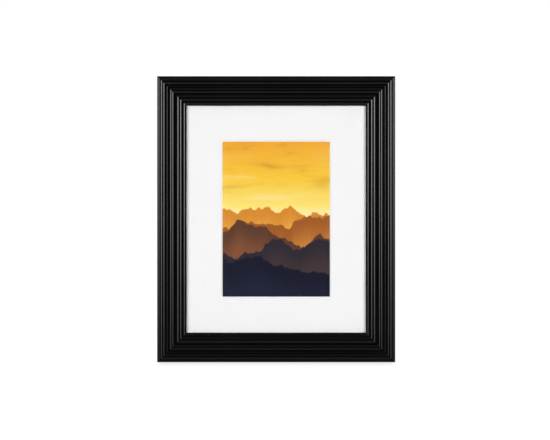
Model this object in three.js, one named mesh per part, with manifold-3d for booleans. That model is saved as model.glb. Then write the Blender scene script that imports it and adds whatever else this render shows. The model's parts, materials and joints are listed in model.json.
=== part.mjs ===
// Matted picture frame with an easel back. A reeded, mitred moulding holds glass, a window mat, a print,
// a filler card and a backing board, and turn buttons keep the board in. Millimetres, +Z up: the frame
// stands on a table, faces -Y and leans back on its hinged leg.
import * as THREE from "three";
import { mergeVertices } from "three/addons/utils/BufferGeometryUtils.js";
import Module from "manifold-3d";

const wasm = await Module();
wasm.setup();

// Sheets held in the rebate, an 8 x 10 inch set.
const sheetWidth = 203.2;
const sheetHeight = 254;
const glassThickness = 1.6;
const matThickness = 1.5;
const printThickness = 0.25;
const fillerThickness = 1.2;
const boardThickness = 3;
const sheetPlay = 0.8; // from a sheet's edge to the rebate wall
const fitGap = 0.3; // between faces that lie on each other

// Window of the mat, at the print, and the 5 x 7 inch print behind it.
const windowWidth = 114.3;
const windowHeight = 165.1;
const printWidth = 127;
const printHeight = 177.8;

// Moulding. From the outer wall to the sight edge its face has an edge bead, three reeds with flat treads
// between them that step down, and a rounded slope. A crown is the rise of an arc over its chord.
const lipOverlap = 6.35; // how far the lip covers the sheets
const lipEdge = 0.8; // height of the sight edge above the lip's underside
const edgeBeadWidth = 2.8;
const edgeBeadCrown = 0.6;
const outerReedWidth = 5.5;
const middleReedWidth = 5;
const innerReedWidth = 5.9;
const reedCrown = 0.9;
const treadStep = 1; // down to the next tread, at the inner side of each reed
const outerTreadFlat = 1.7; // on each side of the fine bead along the outer tread
const fineBeadWidth = 1;
const fineBeadCrown = 0.25;
const innerTreadWidth = 2.4;
const sightGrooveWidth = 0.6;
const sightSlopeWidth = 4.4;
const sightSlopeCrown = 0.6;
const sightSlopeFall = 1.8;
const glueLine = 0.2; // between the faces of a mitre

// V nails that pin each mitre from behind.
const vNailsPerMitre = 2;
const vNailWing = 6;
const vNailThickness = 0.6;
const vNailHeight = 8;

// Turn buttons on the back of the moulding, each on a cross-slot screw.
const buttonThickness = 1;
const buttonHeadRadius = 5;
const buttonTipRadius = 3;
const buttonGrip = 6.2; // how far the tip reaches over the board
const buttonFromRebate = 7; // from the screw to the rebate wall
const buttonSpacingShort = 124; // between the two buttons of the top or bottom rail
const buttonSpacingLong = 150; // between the two buttons of a side rail
const screwShankRadius = 1.3;
const screwHeadRadius = 3;
const screwHeadRim = 0.8; // height of the head's upright rim
const screwHeadHeight = 1.7;
const screwBite = 10; // into the moulding
const screwSlotWidth = 0.8;
const screwSlotLength = 3.6;
const screwSlotDepth = 0.9;

// Rivets through the backing board and the leg. The tail is clenched in a counterbore.
const rivetShankRadius = 1.6;
const rivetHeadRadius = 3;
const rivetHeadHeight = 1.2;
const rivetTailRadius = 2.8;
const rivetTailHeight = 0.6;

// Easel leg and its hinge. The stop tongue of the moving leaf meets the fixed leaf when the leg is open.
const leanAngle = THREE.MathUtils.degToRad(14); // of the frame, from upright
const openAngle = THREE.MathUtils.degToRad(27); // of the leg, from the back of the frame
const hingeRise = 44; // of the hinge axis, above the middle of the picture
const hingeWidth = 34;
const hingeLeafLength = 17; // from the hinge axis to a leaf's free end
const hingeLeafThickness = 1;
const hingeMiddleKnuckle = 12; // width of the moving leaf's knuckle
const hingeRivetSpacing = 20;
const hingeRivetReach = 11; // from the hinge axis to the rivets
const pinRadius = 1.2;
const pinPlay = 0.15;
const pinHeadRadius = 1.9;
const pinHeadLength = 0.7;
const legThickness = 3;
const legTopWidth = 40;
const legFootWidth = 60;
const legCorner = 7;

// Triangle hangers on the backing board, one for each way up.
const hangerInset = 24; // from the sheet's edge to the ring's axis
const strapWidth = 9;
const strapLength = 18; // from the ring's axis to the strap's free end
const strapThickness = 0.8;
const strapRivetReach = 13;
const ringWireRadius = 0.9;
const ringPlay = 0.35;
const ringHalfBase = 10;
const ringHeight = 16;
const ringCorner = 3;

// Facets of the curved surfaces.
const arcSteps = 10;
const domeSteps = 3;
const roundSides = 16;
const ringSteps = 36;
const ringSides = 8;

// The parts of the moulding's face in their order. Each is an arc, or a flat where it has no crown. Its far
// end lies lower by its fall, and the next part starts lower still by its step.
const faceParts = [
  { width: edgeBeadWidth, crown: edgeBeadCrown },
  { width: outerReedWidth, crown: reedCrown, step: treadStep },
  { width: outerTreadFlat },
  { width: fineBeadWidth, crown: fineBeadCrown },
  { width: outerTreadFlat },
  { width: middleReedWidth, crown: reedCrown, step: treadStep },
  { width: innerTreadWidth },
  { width: innerReedWidth, crown: reedCrown, step: treadStep },
  { width: sightGrooveWidth },
  { width: sightSlopeWidth, crown: sightSlopeCrown, fall: sightSlopeFall },
].map((part) => ({ crown: 0, fall: 0, step: 0, ...part }));

// What follows from those sizes.
const sumOf = (key) => faceParts.reduce((sum, part) => sum + part[key], 0);
const railWidth = sumOf("width");
const lipWidth = lipOverlap + sheetPlay;
const backWidth = railWidth - lipWidth; // the moulding's flat back, from the outer wall to the rebate
const outerWidth = sheetWidth - 2 * lipOverlap + 2 * railWidth;
const outerHeight = sheetHeight - 2 * lipOverlap + 2 * railWidth;

const sheets = [boardThickness, fillerThickness, printThickness, matThickness, glassThickness];
const sheetBacks = sheets.map((_, i) => -sheets.slice(0, i).reduce((depth, t) => depth + t + fitGap, 0));
const [boardBack, fillerBack, printBack, matBack, glassBack] = sheetBacks;
const rebateDepth = glassThickness + fitGap - glassBack;

const buttonReach = buttonFromRebate + sheetPlay + buttonGrip; // from the screw to the button's tip
const boreRadius = pinRadius + pinPlay;
const knuckleRadius = boreRadius + hingeLeafThickness;
const hingeAxisDepth = fitGap + knuckleRadius;
const strapBoreRadius = ringWireRadius + ringPlay;
const ringAxisDepth = fitGap + strapBoreRadius + strapThickness;
const legBack = boreRadius - fitGap; // the leg's back face, under the moving leaf, from the hinge axis

const finish = (color, roughness, metalness = 0) =>
  new THREE.MeshStandardMaterial({ color, roughness, metalness });
const lacquer = finish(0x0b0b0c, 0.22);
const matBoard = finish(0xf4f4f3, 0.9);
const printPaper = finish(0xc98a3c, 0.35);
const greyCard = finish(0x9b948a, 0.95);
const blackBoard = finish(0x1b1a1a, 0.85);
const zincSteel = finish(0xb9bbbd, 0.35, 1);
const brassedSteel = finish(0xb08d4c, 0.35, 1);
const clearGlass = finish(0xf4faf8, 0.03);
clearGlass.transparent = true;
clearGlass.opacity = 0.12;

// Solids for joining and cutting

// A closed geometry as a solid.
function solidOf(geometry) {
  const bare = geometry.clone();
  bare.deleteAttribute("normal");
  bare.deleteAttribute("uv");
  const merged = mergeVertices(bare);
  const vertProperties = merged.attributes.position.array;
  const triVerts = new Uint32Array(merged.index.array);
  return new wasm.Manifold(new wasm.Mesh({ numProp: 3, vertProperties, triVerts }));
}

// A solid as a geometry with flat faces.
function geometryOf(solid) {
  const mesh = solid.getMesh();
  const geometry = new THREE.BufferGeometry();
  geometry.setAttribute("position", new THREE.BufferAttribute(new Float32Array(mesh.vertProperties), 3));
  geometry.setIndex(new THREE.BufferAttribute(new Uint32Array(mesh.triVerts), 1));
  const flat = geometry.toNonIndexed();
  flat.computeVertexNormals();
  return flat;
}

const joined = (...geometries) =>
  geometryOf(geometries.map(solidOf).reduce((whole, next) => whole.add(next)));
const cut = (geometry, tools) =>
  geometryOf(tools.map(solidOf).reduce((whole, tool) => whole.subtract(tool), solidOf(geometry)));

// Shapes are drawn in the picture's plane, x to the right and z up.
const shapeOf = (points) => new THREE.Shape(points.map(([x, z]) => new THREE.Vector2(x, z)));

function rectangle(width, height) {
  const [x, z] = [width / 2, height / 2];
  return shapeOf([[-x, -z], [x, -z], [x, z], [-x, z]]);
}

// A shape as a plate with its back at y = 0.
function plate(shape, thickness) {
  return new THREE.ExtrudeGeometry(shape, { depth: thickness, bevelEnabled: false }).rotateX(Math.PI / 2);
}

// A box between two corners.
function block(low, high) {
  const size = high.map((value, i) => value - low[i]);
  const middle = high.map((value, i) => (value + low[i]) / 2);
  return new THREE.BoxGeometry(...size).translate(...middle);
}

// A round bar along y, from one depth to another.
function barAlongY(radius, from, to) {
  return new THREE.CylinderGeometry(radius, radius, to - from, roundSides).translate(0, (from + to) / 2, 0);
}

// A round bar along x, from one place to another.
function barAlongX(radius, from, to) {
  return barAlongY(radius, from, to).rotateZ(-Math.PI / 2);
}

// A turned piece about y, from a profile of [radius, depth] points that starts and ends on the axis.
function turned(profile) {
  const points = profile.map(([radius, depth]) => new THREE.Vector2(radius, depth));
  return new THREE.LatheGeometry(points, roundSides);
}

// The profile of a domed head, from its rim to its top on the axis.
function dome(radius, rim, top) {
  const rise = Array.from({ length: domeSteps }, (_, i) => (Math.PI / 2) * (i / domeSteps));
  const points = rise.map((turn) => [radius * Math.cos(turn), rim + (top - rim) * Math.sin(turn)]);
  return [...points, [0, top]];
}

function node(parent, name, geometry, material) {
  const mesh = new THREE.Mesh(geometry, material);
  mesh.name = name;
  parent.add(mesh);
  return mesh;
}

function groupIn(parent, x = 0, y = 0, z = 0) {
  const group = new THREE.Group();
  group.position.set(x, y, z);
  parent.add(group);
  return group;
}

// Moulding

// Points of an arc over a chord of that width, after its first end, as [along the chord, above it].
function arcPoints(width, crown) {
  const half = 2 * Math.atan((2 * crown) / width);
  const radius = width / 2 / Math.sin(half);
  return Array.from({ length: arcSteps }, (_, i) => {
    const turn = half * ((2 * (i + 1)) / arcSteps - 1);
    return [width / 2 + radius * Math.sin(turn), radius * Math.cos(turn) - radius + crown];
  });
}

// Section of the moulding: x runs from the outer wall to the sight edge, y from the back to the front.
function mouldingSection() {
  let [x, height] = [0, rebateDepth + lipEdge + sumOf("fall") + sumOf("step")];
  const points = [[0, 0], [x, height]];
  for (const { width, crown, fall, step } of faceParts) {
    const over = crown > 0 ? arcPoints(width, crown) : [[width, 0]];
    for (const [along, above] of over) {
      points.push([x + along, height + above - (fall * along) / width]);
    }
    x += width;
    height -= fall + step;
    if (step > 0) points.push([x, height]);
  }
  return shapeOf([...points, [railWidth, rebateDepth], [backWidth, rebateDepth], [backWidth, 0]]);
}

// One rail lying along x with its outer wall at z = 0. Both ends are pulled in by the distance from the
// outer wall, which mitres them, and by half a glue line.
function mitredRail(span) {
  const geometry = new THREE.ExtrudeGeometry(mouldingSection(), { depth: span, bevelEnabled: false });
  const position = geometry.attributes.position;
  for (let i = 0; i < position.count; i++) {
    const end = Math.sign(position.getZ(i) - span / 2);
    const inset = position.getX(i) + glueLine * Math.SQRT1_2;
    position.setZ(i, end * (span / 2 - inset));
  }
  const [alongX, backwards, alongZ] = [[1, 0, 0], [0, -1, 0], [0, 0, 1]].map((v) => new THREE.Vector3(...v));
  return geometry.applyMatrix4(new THREE.Matrix4().makeBasis(alongZ, backwards, alongX));
}

// A V nail with its wings along +x and +z, driven in from the back, larger all round by grow.
function vNail(grow) {
  const [inner, outer] = [-vNailThickness / 2 - grow, vNailThickness / 2 + grow];
  const tip = vNailWing + grow;
  const corners = [[inner, inner], [tip, inner], [tip, outer], [outer, outer], [outer, tip], [inner, tip]];
  return plate(shapeOf(corners), vNailHeight + 2 * grow).translate(0, grow, 0);
}

// How far the corner of each V nail lies in from both outer walls.
const vNailInsets = Array.from({ length: vNailsPerMitre }, (_, i) => {
  const middle = (backWidth * (i + 1)) / (vNailsPerMitre + 1);
  return middle - vNailWing / 2;
});

// Each side is worked in a frame turned about y, so that it is drawn as the bottom rail is. The mitre is
// the one at its left end, and the ends are those of its own x.
const lying = { span: outerWidth, reach: outerHeight / 2, spacing: buttonSpacingShort };
const upright = { span: outerHeight, reach: outerWidth / 2, spacing: buttonSpacingLong };
const sides = [
  { name: "bottom", mitre: "bottom_left", ends: ["left", "right"], ...lying },
  { name: "left", mitre: "top_left", ends: ["upper", "lower"], ...upright },
  { name: "top", mitre: "top_right", ends: ["right", "left"], ...lying },
  { name: "right", mitre: "bottom_right", ends: ["lower", "upper"], ...upright },
];
const buttonInset = backWidth - buttonFromRebate; // from the outer wall to the screw

function addRail(frame, { name, span, reach, spacing }) {
  const pockets = vNailInsets.flatMap((inset) => [
    vNail(fitGap).translate(inset - span / 2, 0, inset),
    vNail(fitGap).rotateY(-Math.PI / 2).translate(span / 2 - inset, 0, inset),
  ]);
  const screwHoles = [-spacing / 2, spacing / 2].map((x) =>
    barAlongY(screwShankRadius + fitGap, -screwBite - fitGap, fitGap).translate(x, 0, buttonInset),
  );
  const rail = cut(mitredRail(span), [...pockets, ...screwHoles]);
  node(frame, `rail_${name}`, rail, lacquer).position.z = -reach;
}

function addVNails(frame, { mitre, span, reach }) {
  vNailInsets.forEach((inset, i) => {
    const nail = node(frame, `v_nail_${mitre}_${i + 1}`, vNail(0), zincSteel);
    nail.position.set(inset - span / 2, 0, inset - reach);
  });
}

// Turn buttons

// A teardrop plate with its screw hole at the origin and its tip towards +z.
function turnButton() {
  const tipCentre = buttonReach - buttonTipRadius;
  const tangent = Math.asin((buttonHeadRadius - buttonTipRadius) / tipCentre);
  const shape = new THREE.Shape();
  shape.absarc(0, tipCentre, buttonTipRadius, tangent, Math.PI - tangent, false);
  shape.absarc(0, 0, buttonHeadRadius, Math.PI - tangent, 2 * Math.PI + tangent, false);
  const hole = new THREE.Path();
  hole.absarc(0, 0, screwShankRadius + fitGap, 0, 2 * Math.PI, true);
  shape.holes.push(hole);
  return plate(shape, buttonThickness);
}

// A pan-head screw with its head's seat at y = 0 and a cross slot in its face.
function panScrew(grip) {
  const point = -grip - screwBite;
  const blank = turned([
    [0, point],
    [screwShankRadius, point + screwShankRadius],
    [screwShankRadius, 0],
    [screwHeadRadius, 0],
    ...dome(screwHeadRadius, screwHeadRim, screwHeadHeight),
  ]);
  const [long, wide] = [screwSlotLength / 2, screwSlotWidth / 2];
  const [floor, clear] = [screwHeadHeight - screwSlotDepth, screwHeadHeight + fitGap];
  const slots = [
    block([-long, floor, -wide], [long, clear, wide]),
    block([-wide, floor, -long], [wide, clear, long]),
  ];
  return cut(blank, slots);
}

function addTurnButtons(frame, { name, ends, reach, spacing }) {
  const grip = 2 * fitGap + buttonThickness; // from the moulding to the screw head's seat
  ends.forEach((end, i) => {
    const place = groupIn(frame, i * spacing - spacing / 2, 0, buttonInset - reach);
    const button = node(place, `turn_button_${name}_${end}`, turnButton(), brassedSteel);
    button.position.y = fitGap + buttonThickness;
    node(place, `button_screw_${name}_${end}`, panScrew(grip), brassedSteel).position.y = grip;
  });
}

// Sheets in the rebate

// The mat's window is cut at 45 degrees, so its front edge stands back from the print by the mat's thickness.
function windowMat() {
  const shape = rectangle(sheetWidth, sheetHeight);
  shape.holes.push(rectangle(windowWidth, windowHeight));
  const geometry = plate(shape, matThickness);
  const position = geometry.attributes.position;
  for (let i = 0; i < position.count; i++) {
    const [x, y, z] = [position.getX(i), position.getY(i), position.getZ(i)];
    const inWindow = Math.abs(x) < (windowWidth + sheetWidth) / 4;
    if (inWindow && y < -matThickness / 2) {
      position.setX(i, x + Math.sign(x) * matThickness);
      position.setZ(i, z + Math.sign(z) * matThickness);
    }
  }
  return geometry;
}

// A rivet whose sheet has its outer face at y = 0 and holds a metal strap there.
function rivet(sheetThickness, strap) {
  const seat = strap + 2 * fitGap;
  const tail = fitGap - sheetThickness;
  return turned([
    [0, tail],
    [rivetTailRadius, tail],
    [rivetTailRadius, tail + rivetTailHeight],
    [rivetShankRadius, tail + rivetTailHeight],
    [rivetShankRadius, seat],
    ...dome(rivetHeadRadius, seat, seat + rivetHeadHeight),
  ]);
}

// What a rivet's shank and tail take out of that sheet at [x, z].
function rivetSeat(sheetThickness, [x, z]) {
  const floor = 2 * fitGap + rivetTailHeight - sheetThickness;
  const inside = -sheetThickness - fitGap;
  const shank = barAlongY(rivetShankRadius + fitGap, inside, fitGap);
  const tail = barAlongY(rivetTailRadius + fitGap, inside, floor);
  return [shank.translate(x, 0, z), tail.translate(x, 0, z)];
}

// Where rivets go through the backing board, as [x, z] from the middle of the picture.
const hingeRivets = [-1, 1].map((end) => [(end * hingeRivetSpacing) / 2, hingeRise + hingeRivetReach]);
const portraitRing = [0, sheetHeight / 2 - hangerInset];
const landscapeRing = [sheetWidth / 2 - hangerInset, 0];
const portraitRivet = [0, portraitRing[1] - strapRivetReach];
const landscapeRivet = [landscapeRing[0] - strapRivetReach, 0];

function addSheets(face) {
  const sheet = rectangle(sheetWidth, sheetHeight);
  const boardRivets = [...hingeRivets, portraitRivet, landscapeRivet];
  const seats = boardRivets.flatMap((place) => rivetSeat(boardThickness, place));
  const board = cut(plate(sheet, boardThickness), seats);
  const print = plate(rectangle(printWidth, printHeight), printThickness);
  node(face, "backing_board", board, blackBoard).position.y = boardBack;
  node(face, "filler_card", plate(sheet, fillerThickness), greyCard).position.y = fillerBack;
  node(face, "print", print, printPaper).position.y = printBack;
  node(face, "window_mat", windowMat(), matBoard).position.y = matBack;
  node(face, "glass", plate(sheet, glassThickness), clearGlass).position.y = glassBack;
}

// Easel leg and hinge

// A pressed leaf that hangs from an axis along x, with its plate on the -y side. Its knuckles take the
// given stretches of x, and beside them the plate stays clear of the barrel.
function knuckleLeaf({ width, length, thickness, bore, knuckles, rivets }) {
  const radius = bore + thickness;
  const apron = block([-width / 2, -radius, -length], [width / 2, -bore, -radius - fitGap]);
  const tabs = knuckles.map(([from, to]) => block([from, -radius, -length], [to, -bore, 0]));
  const barrels = knuckles.map(([from, to]) => barAlongX(radius, from, to));
  const bores = knuckles.map(([from, to]) => barAlongX(bore, from - fitGap, to + fitGap));
  const holes = rivets.map(([x, z]) =>
    barAlongY(rivetShankRadius + fitGap, -radius - fitGap, fitGap - bore).translate(x, 0, z),
  );
  return cut(joined(apron, ...tabs, ...barrels), [...bores, ...holes]);
}

const leafRivets = [-1, 1].map((end) => [(end * hingeRivetSpacing) / 2, -hingeRivetReach]);
const leaf = {
  width: hingeWidth,
  length: hingeLeafLength,
  thickness: hingeLeafThickness,
  bore: boreRadius,
  rivets: leafRivets,
};

function fixedLeaf() {
  const [inner, outer] = [hingeMiddleKnuckle / 2 + fitGap, hingeWidth / 2];
  return knuckleLeaf({ ...leaf, knuckles: [[-outer, -inner], [inner, outer]] }).rotateY(Math.PI);
}

// The tongue runs past the axis until its edge meets the fixed leaf with the leg open.
function movingLeaf() {
  const half = hingeMiddleKnuckle / 2;
  const body = knuckleLeaf({ ...leaf, knuckles: [[-half, half]] }).rotateZ(Math.PI);
  const tongue = (boreRadius * (1 + Math.cos(openAngle)) - fitGap) / Math.sin(openAngle);
  return joined(body, block([-half, boreRadius, 0], [half, knuckleRadius, tongue]));
}

function hingePin() {
  const shoulder = hingeWidth / 2 + fitGap;
  const tip = shoulder + pinHeadLength;
  return turned([
    [0, -tip],
    [pinHeadRadius, -tip],
    [pinHeadRadius, -shoulder],
    [pinRadius, -shoulder],
    [pinRadius, shoulder],
    [pinHeadRadius, shoulder],
    [pinHeadRadius, tip],
    [0, tip],
  ]).rotateZ(-Math.PI / 2);
}

// The leg hangs from the hinge axis. Its foot is cut along the table, where it stands when open.
function easelLeg() {
  const rise = (outerHeight / 2 + hingeRise) * Math.cos(leanAngle) - hingeAxisDepth * Math.sin(leanAngle);
  const slope = openAngle - leanAngle;
  const footAt = (depth) => -(rise + depth * Math.sin(slope)) / Math.cos(slope);
  const [top, foot] = [-knuckleRadius - fitGap, footAt(legBack)];
  const [x, footX] = [legTopWidth / 2, legFootWidth / 2];
  const shape = new THREE.Shape();
  shape.moveTo(-footX, foot);
  shape.lineTo(footX, foot);
  shape.lineTo(x, top - legCorner);
  shape.quadraticCurveTo(x, top, x - legCorner, top);
  shape.lineTo(legCorner - x, top);
  shape.quadraticCurveTo(-x, top, -x, top - legCorner);
  const blank = plate(shape, legThickness);
  const position = blank.attributes.position;
  for (let i = 0; i < position.count; i++) {
    const isFoot = position.getZ(i) < (top + foot) / 2;
    if (isFoot) position.setZ(i, footAt(legBack + position.getY(i)));
  }
  return cut(blank, leafRivets.flatMap((place) => rivetSeat(legThickness, place)));
}

function addEasel(face) {
  const axis = groupIn(face, 0, hingeAxisDepth, hingeRise);
  node(axis, "hinge_leaf_fixed", fixedLeaf(), zincSteel);
  node(axis, "hinge_pin", hingePin(), zincSteel);
  const leg = groupIn(axis);
  leg.rotation.x = openAngle;
  node(leg, "hinge_leaf_moving", movingLeaf(), zincSteel);
  node(leg, "easel_leg", easelLeg(), blackBoard).position.y = legBack;
  const [boardRivet, legRivet] = [boardThickness, legThickness].map((t) => rivet(t, hingeLeafThickness));
  ["left", "right"].forEach((end, i) => {
    const inBoard = node(face, `hinge_rivet_board_${end}`, boardRivet, zincSteel);
    inBoard.position.set(hingeRivets[i][0], boardBack, hingeRivets[i][1]);
    const inLeg = node(leg, `hinge_rivet_leg_${end}`, legRivet, zincSteel);
    inLeg.position.set(leafRivets[i][0], legBack, leafRivets[i][1]);
  });
}

// Triangle hangers

function hangerStrap() {
  const half = strapWidth / 2;
  return knuckleLeaf({
    width: strapWidth,
    length: strapLength,
    thickness: strapThickness,
    bore: strapBoreRadius,
    knuckles: [[-half, half]],
    rivets: [[0, -strapRivetReach]],
  });
}

// A wire triangle with rounded corners. Its base lies on the axis along x, and it hangs towards -z.
function triangleRing() {
  const corners = [[-ringHalfBase, 0], [ringHalfBase, 0], [0, -ringHeight]];
  const points = corners.map(([x, z]) => new THREE.Vector3(x, 0, z));
  const towards = (from, to) => from.clone().add(to.clone().sub(from).setLength(ringCorner));
  const path = new THREE.CurvePath();
  points.forEach((corner, i) => {
    const before = points.at(i - 1);
    const after = points[(i + 1) % points.length];
    path.add(new THREE.QuadraticBezierCurve3(towards(corner, before), corner, towards(corner, after)));
    path.add(new THREE.LineCurve3(towards(corner, after), towards(after, corner)));
  });
  return new THREE.TubeGeometry(path, ringSteps, ringWireRadius, ringSides, true);
}

function addHanger(face, name, [x, z], turn, ringSwing) {
  const place = groupIn(face, x, ringAxisDepth, z);
  place.rotation.y = turn;
  node(place, `hanger_strap_${name}`, hangerStrap(), zincSteel);
  node(place, `hanger_ring_${name}`, triangleRing(), zincSteel).rotation.x = ringSwing;
  const fixing = node(place, `hanger_rivet_${name}`, rivet(boardThickness, strapThickness), zincSteel);
  fixing.position.set(0, boardBack - ringAxisDepth, -strapRivetReach);
}

// The whole frame leans back about the lower back edge of its moulding. The portrait ring hangs plumb,
// and the landscape ring lies along the board towards its edge.
const pictureFrame = new THREE.Group();
const leaning = groupIn(pictureFrame);
leaning.rotation.x = -leanAngle;
const face = groupIn(leaning, 0, 0, outerHeight / 2);
sides.forEach((side, i) => {
  const frame = groupIn(face);
  frame.rotation.y = (i * Math.PI) / 2;
  addRail(frame, side);
  addVNails(frame, side);
  addTurnButtons(frame, side);
});
addSheets(face);
addEasel(face);
addHanger(face, "portrait", portraitRing, 0, leanAngle);
addHanger(face, "landscape", landscapeRing, Math.PI / 2, Math.PI);

// It is set on the table about the middle of its own box.
const box = new THREE.Box3().setFromObject(leaning, true);
leaning.position.set(-(box.min.x + box.max.x) / 2, -(box.min.y + box.max.y) / 2, -box.min.z);

export default pictureFrame;
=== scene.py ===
import json
import math

import bmesh
import bpy
from mathutils import Matrix, Vector


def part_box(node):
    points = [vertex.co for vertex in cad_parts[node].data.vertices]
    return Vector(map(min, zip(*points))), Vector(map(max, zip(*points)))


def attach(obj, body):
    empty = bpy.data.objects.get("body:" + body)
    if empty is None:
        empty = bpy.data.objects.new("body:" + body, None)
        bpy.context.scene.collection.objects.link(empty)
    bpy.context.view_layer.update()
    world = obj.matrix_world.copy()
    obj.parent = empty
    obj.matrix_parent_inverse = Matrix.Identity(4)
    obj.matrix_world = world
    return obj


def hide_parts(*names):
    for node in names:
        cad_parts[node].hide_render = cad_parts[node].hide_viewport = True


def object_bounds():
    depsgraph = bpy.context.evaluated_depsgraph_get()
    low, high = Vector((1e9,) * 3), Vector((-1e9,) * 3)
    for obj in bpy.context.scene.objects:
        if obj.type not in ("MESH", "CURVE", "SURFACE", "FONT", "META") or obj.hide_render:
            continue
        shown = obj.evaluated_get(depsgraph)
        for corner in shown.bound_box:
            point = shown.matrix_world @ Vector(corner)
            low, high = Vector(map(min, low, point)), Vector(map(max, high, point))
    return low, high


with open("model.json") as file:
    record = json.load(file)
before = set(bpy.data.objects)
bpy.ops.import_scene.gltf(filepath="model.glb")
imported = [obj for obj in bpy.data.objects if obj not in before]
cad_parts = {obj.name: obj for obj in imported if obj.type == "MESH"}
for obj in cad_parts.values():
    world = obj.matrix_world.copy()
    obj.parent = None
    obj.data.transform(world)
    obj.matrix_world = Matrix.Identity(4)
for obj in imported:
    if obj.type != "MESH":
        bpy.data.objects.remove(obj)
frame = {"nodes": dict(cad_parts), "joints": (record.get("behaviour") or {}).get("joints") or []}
cad_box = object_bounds()
scene = bpy.context.scene

# Moulding. Four rails of one milled wood section: an edge bead, three reeds with treads that step down
# between them, and a rounded slope to the sight edge. They are sprayed with black lacquer, mitred and glued,
# and their backs are only stained.
MM = 0.001
RAIL_FACE = (  # width, crown, fall and step down of each part, from the outer wall to the sight edge
    (2.8, 0.6, 0.0, 0.0),  # edge bead
    (5.5, 0.9, 0.0, 1.0),  # outer reed
    (1.7, 0.0, 0.0, 0.0),  # tread with a fine bead along its middle
    (1.0, 0.25, 0.0, 0.0),
    (1.7, 0.0, 0.0, 0.0),
    (5.0, 0.9, 0.0, 1.0),  # middle reed
    (2.4, 0.0, 0.0, 0.0),  # tread
    (5.9, 0.9, 0.0, 1.0),  # inner reed
    (0.6, 0.0, 0.0, 0.0),  # groove
    (4.4, 0.6, 1.8, 0.0),  # slope to the sight edge
)
RAIL_WIDTH = sum(part[0] for part in RAIL_FACE)
RAIL_HEIGHT = 14.65  # of the outer wall
REBATE_WIDTH, REBATE_DEPTH = 7.15, 9.05
SIGHT_WIDTH, SIGHT_HEIGHT = 190.5, 241.3
LIP_EASE, HEEL_EASE, TOE_EASE = 0.25, 0.3, 0.5  # sanded edges at the sight, the rebate and the outer wall
NAIL_PROUD = 0.05  # the V nails stand out of the wood's back by that much
RAIL_CREASE = 25  # degrees: sharper edges of the section stay crisp
BOARD_THICKNESS = 3.0

# The picture's own axes: x to the right, y out of the back, as the turn buttons' screws point, and z up the
# picture, from the middle of the moulding's back.
joints = {joint["name"]: joint for joint in frame["joints"]}
out_of_back = Vector(joints["turn_button_top_left_turn"]["axis"])
lean = math.atan2(-out_of_back.z, out_of_back.y)
board_low, board_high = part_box("backing_board")
face_middle = (board_low + board_high) / 2 + out_of_back * BOARD_THICKNESS / 2 * MM
face = Matrix.Translation(face_middle) @ Matrix.Rotation(-lean, 4, "X")


def dress(tree, node, sockets):
    """Sets or links a node's inputs."""
    for key, value in sockets.items():
        if isinstance(value, bpy.types.NodeSocket):
            tree.links.new(value, node.inputs[key])
        else:
            node.inputs[key].default_value = value


def put(tree, kind, sockets=None, **settings):
    """Adds a node with its settings and inputs."""
    node = tree.nodes.new(kind)
    for key, value in settings.items():
        setattr(node, key, value)
    dress(tree, node, sockets or {})
    return node


def calc(tree, operation, *values, clamp=False):
    """One sum on numbers or sockets."""
    node = put(tree, "ShaderNodeMath", dict(enumerate(values)), operation=operation, use_clamp=clamp)
    return node.outputs[0]


def spread(tree, value, low, high, to_low=0.0, to_high=1.0):
    """A smooth change from one value to another while the input goes from low to high."""
    sockets = {"Value": value, "From Min": low, "From Max": high, "To Min": to_low, "To Max": to_high}
    return put(tree, "ShaderNodeMapRange", sockets, interpolation_type="SMOOTHSTEP").outputs[0]


def blended(tree, factor, first, second):
    """A colour between two others."""
    node = put(tree, "ShaderNodeMix", data_type="RGBA")
    dress(tree, node, {0: factor, 6: first, 7: second})
    return node.outputs[2]


def noise(tree, place, scale, detail=2.0, roughness=0.5):
    """Soft patches in space, from 0 to 1."""
    sockets = {"Vector": place, "Scale": scale, "Detail": detail, "Roughness": roughness}
    return put(tree, "ShaderNodeTexNoise", sockets).outputs[0]


def stretched(tree, place, x, y, z):
    """A place with its own scale along each side, for patterns that run one way."""
    node = put(tree, "ShaderNodeVectorMath", {0: place, 1: (x, y, z)}, operation="MULTIPLY")
    return node.outputs[0]


def raised(tree, height, strength, distance):
    """A bump from a height in 0 to 1, with its depth in metres."""
    sockets = {"Strength": strength, "Distance": distance, "Height": height}
    return put(tree, "ShaderNodeBump", sockets).outputs[0]


def on_piece(tree, matrix):
    """Object coordinates from a piece's own middle and along its own sides, in metres."""
    place = put(tree, "ShaderNodeTexCoord").outputs["Object"]
    sockets = {"Vector": place, "Location": matrix.translation, "Rotation": matrix.to_euler()}
    return put(tree, "ShaderNodeMapping", sockets, vector_type="TEXTURE").outputs[0]


def finish(name):
    """A new material with its tree and its surface shader."""
    material = bpy.data.materials.new(name)
    material.use_nodes = True
    return material, material.node_tree, material.node_tree.nodes["Principled BSDF"]


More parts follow.
